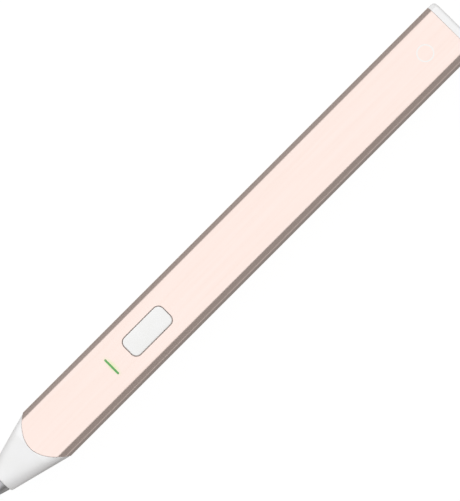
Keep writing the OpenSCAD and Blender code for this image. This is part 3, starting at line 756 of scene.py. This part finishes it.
dressPiece(makeNose(), slotMaterials["white_plastic"], "pen_body", "white_plastic", "nose_cone")


nozzle = {
    "tipLength": 1.4,
    "baseRadius": 3.4,
    "slope": 0.3,  # how much the radius grows over a millimetre behind the tip
    "orifice": 0.35,
    "flat": 0.45,
    "bore": 1.0,
    "throat": 0.7,
    "socket": 2.2,
    "socketDepth": 2,
}


def makeNozzle():
    # a turned profile of (x, radius) points carried round the axis; each outside corner is broken
    n = nozzle
    low, high = penBox("nozzle")
    tip, base = low[0], high[0]
    shoulder, socketEnd = tip + n["tipLength"], base - n["socketDepth"]
    shoulderRadius = n["baseRadius"] - n["slope"] * (base - shoulder)
    lip = n["orifice"] + n["flat"]
    profile = [
        (tip + 0.08, n["orifice"]),
        (tip, n["orifice"] + 0.08),
        (tip, lip - 0.1),
        (tip + 0.06, lip),
        (shoulder - 0.3, shoulderRadius - 0.25),
        (shoulder - 0.12, shoulderRadius - 0.07),
        (shoulder, shoulderRadius),
        (shoulder + 0.1, shoulderRadius + 0.03),
        (base - 0.3, n["baseRadius"] - 0.09),
        (base - 0.2, n["baseRadius"] - 0.06),
        (base - 0.06, n["baseRadius"] - 0.04),
        (base, n["baseRadius"] - 0.14),
        (base, n["socket"]),
        (socketEnd, n["socket"]),
        (socketEnd, n["bore"]),
        (shoulder, n["bore"]),
        (shoulder - n["throat"], n["orifice"]),
        (tip + 0.08, n["orifice"]),
    ]
    return makePiece("nozzleCone", [(np.stack([aroundAxis(x, radius) for x, radius in profile]), True)], 25)


dressPiece(makeNozzle(), slotMaterials["nozzle_metal"], "pen_body", "nozzle_metal", "nozzle")
print("nose and nozzle made")


cap = {
    "edge": 0.95,  # rounding at the back
    "frontEdge": 0.05,
    "gap": 0.05,  # between it and the tube, and how far it stands in from the tube's outside
    "wall": 1.1,
    "spigot": 5.0,
    "spigotEdge": 0.3,  # lead-in outside the spigot's end
    "innerEdge": 0.1,
    "split": -0.55,  # level of the line between the faces of the two holes
    "holeEdge": 0.1,
    "holeMargin": 0.03,
    "faceMargin": 0.05,  # between the rounding and the flat faces of the back
}
capHoles = (
    {"centre": (-1.5, -2.6), "half": (4.6, 1.75), "radius": 1.75},  # charge socket
    {"centre": (4.0, 1.6), "half": (1.85, 1.85), "radius": 1.85},  # filament inlet
)


def castRing(loop, hole, grow):
    # the outline of a round-cornered hole, grown by grow, where rays from its centre to the loop's points
    # meet its flat top, its flat side or the circle of its corner
    a, b, r = hole["half"][0] + grow, hole["half"][1] + grow, hole["radius"] + grow
    way = loop - hole["centre"]
    way /= np.linalg.norm(way, axis=1)[:, None]
    cosine, sine = np.abs(way[:, 0]) + 1e-9, np.abs(way[:, 1]) + 1e-9
    overTop, overSide = b / sine, a / cosine
    along = (a - r) * cosine + (b - r) * sine
    corner = along + np.sqrt(np.maximum(along**2 - (a - r) ** 2 - (b - r) ** 2 + r**2, 0))
    beside = np.where(overSide * sine <= b - r, overSide, corner)
    reach = np.where(overTop * cosine <= a - r, overTop, beside)
    return way * reach[:, None] + hole["centre"]


def splitLoops(ring, z, count=36):
    # a ring cut in two by a line of count points, which joins its points nearest to the level z on the
    # left and on the right: the loop below the line and the loop above it
    quarter, half = len(ring) // 4, len(ring) // 2
    offset = np.abs(ring[:, 1] - z)
    left = quarter + np.argmin(offset[quarter:half])
    right = half + np.argmin(np.where(ring[half:, 0] < 0, np.inf, offset[half:]))
    line = ring[left] + (ring[right] - ring[left]) * np.linspace(0, 1, count)[:, None]
    below = np.concatenate([ring[left:right], line[:0:-1]])
    above = np.concatenate([ring[right:], ring[: left + 1], line[1:-1]])
    return below, above


def makeCap():
    # the section at insets from the floor inside forwards to the spigot's end, back along the spigot's
    # outside to the tube, out and round the edge at the back; two faces with a hole close the back
    c = cap
    back = penBox("end_cap")[1][0]
    front = (tubeHigh.x - seamX) / metre + c["gap"]
    inside = section["wall"] + c["gap"]
    hollow = inside + c["wall"] - c["gap"]
    floor = front - c["gap"]
    deep = floor - c["spigot"]
    rows = [(floor, hollow), (deep + c["innerEdge"], hollow), (deep, hollow - c["innerEdge"])]
    rows += [(deep, inside + c["spigotEdge"]), (deep + c["spigotEdge"], inside), (front, inside)]
    rows += [
        (front + c["frontEdge"] * (1 - math.cos(a)), c["gap"] + c["frontEdge"] * (1 - math.sin(a)))
        for a in arcSteps(4)
    ]
    rows += [
        (back - c["edge"] * (1 - math.sin(a)), c["gap"] + c["edge"] * (1 - math.cos(a)))
        for a in arcSteps(9)
    ]
    rows += [(back, c["gap"] + c["edge"] + c["faceMargin"])]
    patches = [(np.stack([withX(x, sectionRing(inset)) for x, inset in rows]), True)]
    outer = splitLoops(sectionRing(rows[-1][1]), c["split"])
    inner = splitLoops(sectionRing(hollow), c["split"])
    for loop, innerLoop, hole in zip(outer, inner, capHoles):
        patches.append(holePatch(
            loop,
            innerLoop,
            lambda grow: castRing(loop, hole, grow),
            lambda flat, depth: withX(back - depth, flat),
            back - floor,
            c["holeEdge"],
            c["holeMargin"],
        ))
    return makePiece("endCap", patches)


dressPiece(makeCap(), slotMaterials["white_plastic"], "pen_body", "white_plastic", "end_cap")
print("end cap made")


button = {
    "half": (7.15, 3.05),
    "radius": 1.7,
    "rim": 0.35,
    "crown": 0.1,  # how much higher the middle of the top is
    "flange": 0.6,
    "flangeTop": 6.7,
    "flangeEdge": 0.1,
}
light = {
    "half": (0.2, 2.6),
    "radius": 0.15,
    "rim": 0.05,
    "foot": (1.2, 3.2),
    "footRadius": 0.3,
    "footTop": 6.75,
}
sideShares = np.linspace(0, 1, 41)


def outlineRow(centre, half, radius, scale, grow, z):
    # a round-cornered rectangle, grown by grow and then scaled about its centre, at the height z
    ring = slotRing((0, 0), half[0] + grow, half[1] + grow, radius + grow, [sideShares] * 4) * scale
    return np.column_stack([ring + centre, np.full(len(ring), z)])


def makeButton():
    # rows from the middle of the crowned top out over a soft rim, down to the flange and in under it; the
    # crown falls with the square of the distance from the middle
    b = button
    low, high = penBox("feed_button")
    centre = ((low[0] + high[0]) / 2, 0)
    top, edge = high[2], high[2] - b["crown"]
    flange, flangeTop, soft = b["flange"], b["flangeTop"], b["flangeEdge"]
    steps = [(t, -b["rim"], top - b["crown"] * t**2) for t in (0, 0.2, 0.4, 0.6, 0.75, 0.88, 0.96, 1)]
    steps += [
        (1, b["rim"] * (math.sin(a) - 1), edge - b["rim"] * (1 - math.cos(a)))
        for a in arcSteps(8)[1:]
    ]
    steps += [(1, 0, flangeTop + soft), (1, soft, flangeTop)]
    steps += [(1, flange - soft, flangeTop), (1, flange, flangeTop - soft)]
    steps += [(1, flange, low[2]), (0.5, 0, low[2]), (0, 0, low[2])]
    rows = [outlineRow(centre, b["half"], b["radius"], *step) for step in steps]
    return makePiece("feedButton", [(np.stack(rows), True)], 50)


def makeLight():
    # a thin bar with a softened top on a wider foot
    g = light
    low, high = penBox("light_guide")
    centre = ((low[0] + high[0]) / 2, 0)
    top = high[2]
    bar = [(0, 0, top), (0.5, 0, top), (1, -g["rim"], top)]
    bar += [(1, g["rim"] * (math.sin(a) - 1), top - g["rim"] * (1 - math.cos(a))) for a in arcSteps(4)[1:]]
    bar += [(1, 0, g["footTop"])]
    rows = [outlineRow(centre, g["half"], g["radius"], *step) for step in bar]
    foot = [(1, 0, g["footTop"]), (1, 0, low[2]), (0.5, 0, low[2]), (0, 0, low[2])]
    rows += [outlineRow(centre, g["foot"], g["footRadius"], *step) for step in foot]
    return makePiece("lightGuide", [(np.stack(rows), True)], 50)


mark = {"centre": 147.4, "radius": 2.4, "line": 0.36, "height": 0.012, "around": 96}


def makeMark():
    # a plain printed ring: a flat band round a circle, with its edges let into the face
    m = mark
    angles = np.linspace(0, 2 * np.pi, m["around"], endpoint=False)
    inner, outer, height = m["radius"] - m["line"], m["radius"], m["height"]
    profile = ((inner, -height), (inner, height), (outer, height), (outer, -height), (inner, -height))
    rows = []
    for radius, z in profile:
        x, y = m["centre"] + radius * np.cos(angles), radius * np.sin(angles)
        rows.append(np.column_stack([x, y, np.full(len(angles), halfThick + z)]))
    return makePiece("printedRing", [(np.stack(rows), True)])


dressPiece(makeButton(), slotMaterials["button_plastic"], "button", "button_plastic", "feed_button")
dressPiece(makeLight(), slotMaterials["light_plastic"], "pen_body", "light_plastic", "light_guide")
ringMark = makeMark()
ringMark.data.materials.append(padPrint())
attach(ringMark, "pen_body")
print("button, light line and mark made")


pad = {
    "rings": 64,
    "around": 48,
    "ends": 0.22,  # exponent along the pad: the smaller, the squarer its ends
    "sides": 0.45,  # exponent round it
    "waist": 0.05,  # share by which its middle is drawn in
}


def signedPower(value, power):
    # a power of the value's size, with the value's sign
    return np.sign(value) * np.abs(value) ** power


def makePad():
    # a superellipsoid in the pad's box, each sine and cosine taken to its exponent, and drawn in between
    # its ends by a cosine
    p = pad
    low, high = penBox("foam_pad")
    centre, half = (low + high) / 2, (high - low) / 2
    slope = np.linspace(-quarterTurn, quarterTurn, p["rings"])[:, None]
    spin = np.linspace(0, 2 * np.pi, p["around"], endpoint=False)[None, :]
    along = signedPower(np.sin(slope), p["ends"])
    size = np.abs(np.cos(slope)) ** p["ends"] * (1 - p["waist"] * np.cos(along * quarterTurn))
    size[[0, -1]] = 0
    grid = np.stack([
        along + 0 * spin,
        size * signedPower(np.cos(spin), p["sides"]),
        size * signedPower(np.sin(spin), p["sides"]),
    ], -1)
    return makePiece("foamPad", [(grid * half + centre, True)], 80)


foamPad = dressPiece(makePad(), slotMaterials["foam"], "pen_body", "foam", "foam_pad")
print("foam pad made")


studio = {
    "floor": 2.6,  # m, radius of the flat floor
    "curve": 1.2,  # m, radius of the sweep up to the wall
    "wall": 1.4,  # m, height of the wall above it
    "drop": 0.0002,  # m, how far the floor is below the pen
    "around": 96,
    "paint": "#4d4d4d",
    "glow": 0.945,  # brightness of the backdrop itself
    "lean": 9,  # degrees that the light leans towards the pen's left side
    "above": 1.07,  # brightness of the light overhead
    "level": 0.18,  # brightness all round at eye level
    "below": 0.55,  # light thrown back by the floor
    "dusk": "#fffaf5",  # colour of the dimmest light
    "edges": (8, 29),  # degrees above eye level where the overhead light begins and is full
    "shade": (-0.8, -0.97),  # sines of the angles where the pen's shade on the floor begins and is full
    "keyPower": 3.8,  # W
    "keySize": 1.2,  # m across
    "keyReach": 1.6,  # m from the pen
    "keyTilt": 50,  # degrees from overhead towards the pen's left
}


def makeBackdrop(s):
    # a round floor that sweeps up into a wall: radius and height along a profile, carried round
    radii = np.concatenate([[0, 0.02, 0.1, 0.5, 1.5], s["floor"] + s["curve"] * np.sin(arcSteps(13))])
    heights = np.concatenate([np.zeros(5), s["curve"] * (1 - np.cos(arcSteps(13)))])
    radii = np.append(radii, radii[-1])
    heights = np.append(heights, heights[-1] + s["wall"]) - s["drop"]
    angles = np.linspace(0, 2 * np.pi, s["around"], endpoint=False)
    grid = np.stack([
        radii[:, None] * np.cos(angles),
        radii[:, None] * np.sin(angles),
        heights[:, None] + 0 * angles,
    ], -1)
    mesh = bpy.data.meshes.new("backdrop")
    mesh.from_pydata(grid.reshape(-1, 3).tolist(), [], gridFaces(len(radii), len(angles), True).tolist())
    mesh.shade_smooth()
    backdrop = bpy.data.objects.new("backdrop", mesh)
    bpy.context.scene.collection.objects.link(backdrop)
    values = {"Roughness": 1.0, "Specular IOR Level": 0.0, "Emission Strength": s["glow"]}
    values["Emission Color"] = (1, 1, 1, 1)
    mesh.materials.append(startMaterial("paintedBackdrop", s["paint"], values)[0])
    backdrop.visible_diffuse = False
    backdrop.visible_glossy = False
    backdrop.visible_transmission = False


def makeDome(s):
    # soft light from a dome: brightness by the height of the direction looked in, measured from a
    # slightly leaning level, with smooth steps from the dim band at eye level to overhead, down to the
    # floor and back to dim straight below, where the pen shades the floor
    world = bpy.data.worlds.new("studioDome")
    bpy.context.scene.world = world
    world.use_nodes = True
    tree = world.node_tree
    lean = math.radians(s["lean"])
    low, high = (math.sin(math.radians(angle)) for angle in s["edges"])
    direction = addNode(tree, "ShaderNodeTexCoord").outputs["Generated"]
    level = {1: (0, math.sin(lean), math.cos(lean))}
    height = addNode(tree, "ShaderNodeVectorMath", level, {0: direction}, operation="DOT_PRODUCT")
    steps = (
        (low, high, s["level"], s["above"]),
        (-low, -high, 0.0, s["below"] - s["level"]),
        (*s["shade"], 0.0, s["level"] - s["below"]),
    )
    parts = []
    for begins, full, dim, bright in steps:
        values = {"From Min": begins, "From Max": full, "To Min": dim, "To Max": bright}
        links = {"Value": height.outputs["Value"]}
        part = addNode(tree, "ShaderNodeMapRange", values, links, interpolation_type="SMOOTHSTEP")
        parts.append(part.outputs[0])
    lower = addNode(tree, "ShaderNodeMath", links={0: parts[1], 1: parts[2]}, operation="ADD")
    total = addNode(tree, "ShaderNodeMath", links={0: parts[0], 1: lower.outputs[0]}, operation="ADD")
    values = {"From Min": s["level"], "From Max": s["above"]}
    share = addNode(tree, "ShaderNodeMapRange", values, {"Value": total.outputs[0]})
    colours = {6: hexColour(s["dusk"]), 7: (1, 1, 1, 1)}
    warmth = addNode(tree, "ShaderNodeMix", colours, {0: share.outputs[0]}, data_type="RGBA")
    background = tree.nodes["Background"]
    tree.links.new(warmth.outputs[2], background.inputs["Color"])
    tree.links.new(total.outputs[0], background.inputs["Strength"])


def makeKey(s):
    # a wide soft lamp high on the pen's left, aimed at its middle; shiny parts don't mirror it
    data = bpy.data.lights.new("softKey", "AREA")
    data.shape, data.size, data.energy = "DISK", s["keySize"], s["keyPower"]
    lamp = bpy.data.objects.new("softKey", data)
    bpy.context.scene.collection.objects.link(lamp)
    tilt = math.radians(s["keyTilt"])
    lamp.matrix_world = Matrix.Rotation(-tilt, 4, "X") @ Matrix.Translation((0, 0, s["keyReach"]))
    lamp.visible_glossy = False


makeBackdrop(studio)
makeDome(studio)
makeKey(studio)
bpy.context.scene.view_settings.view_transform = "Standard"
print("studio made")
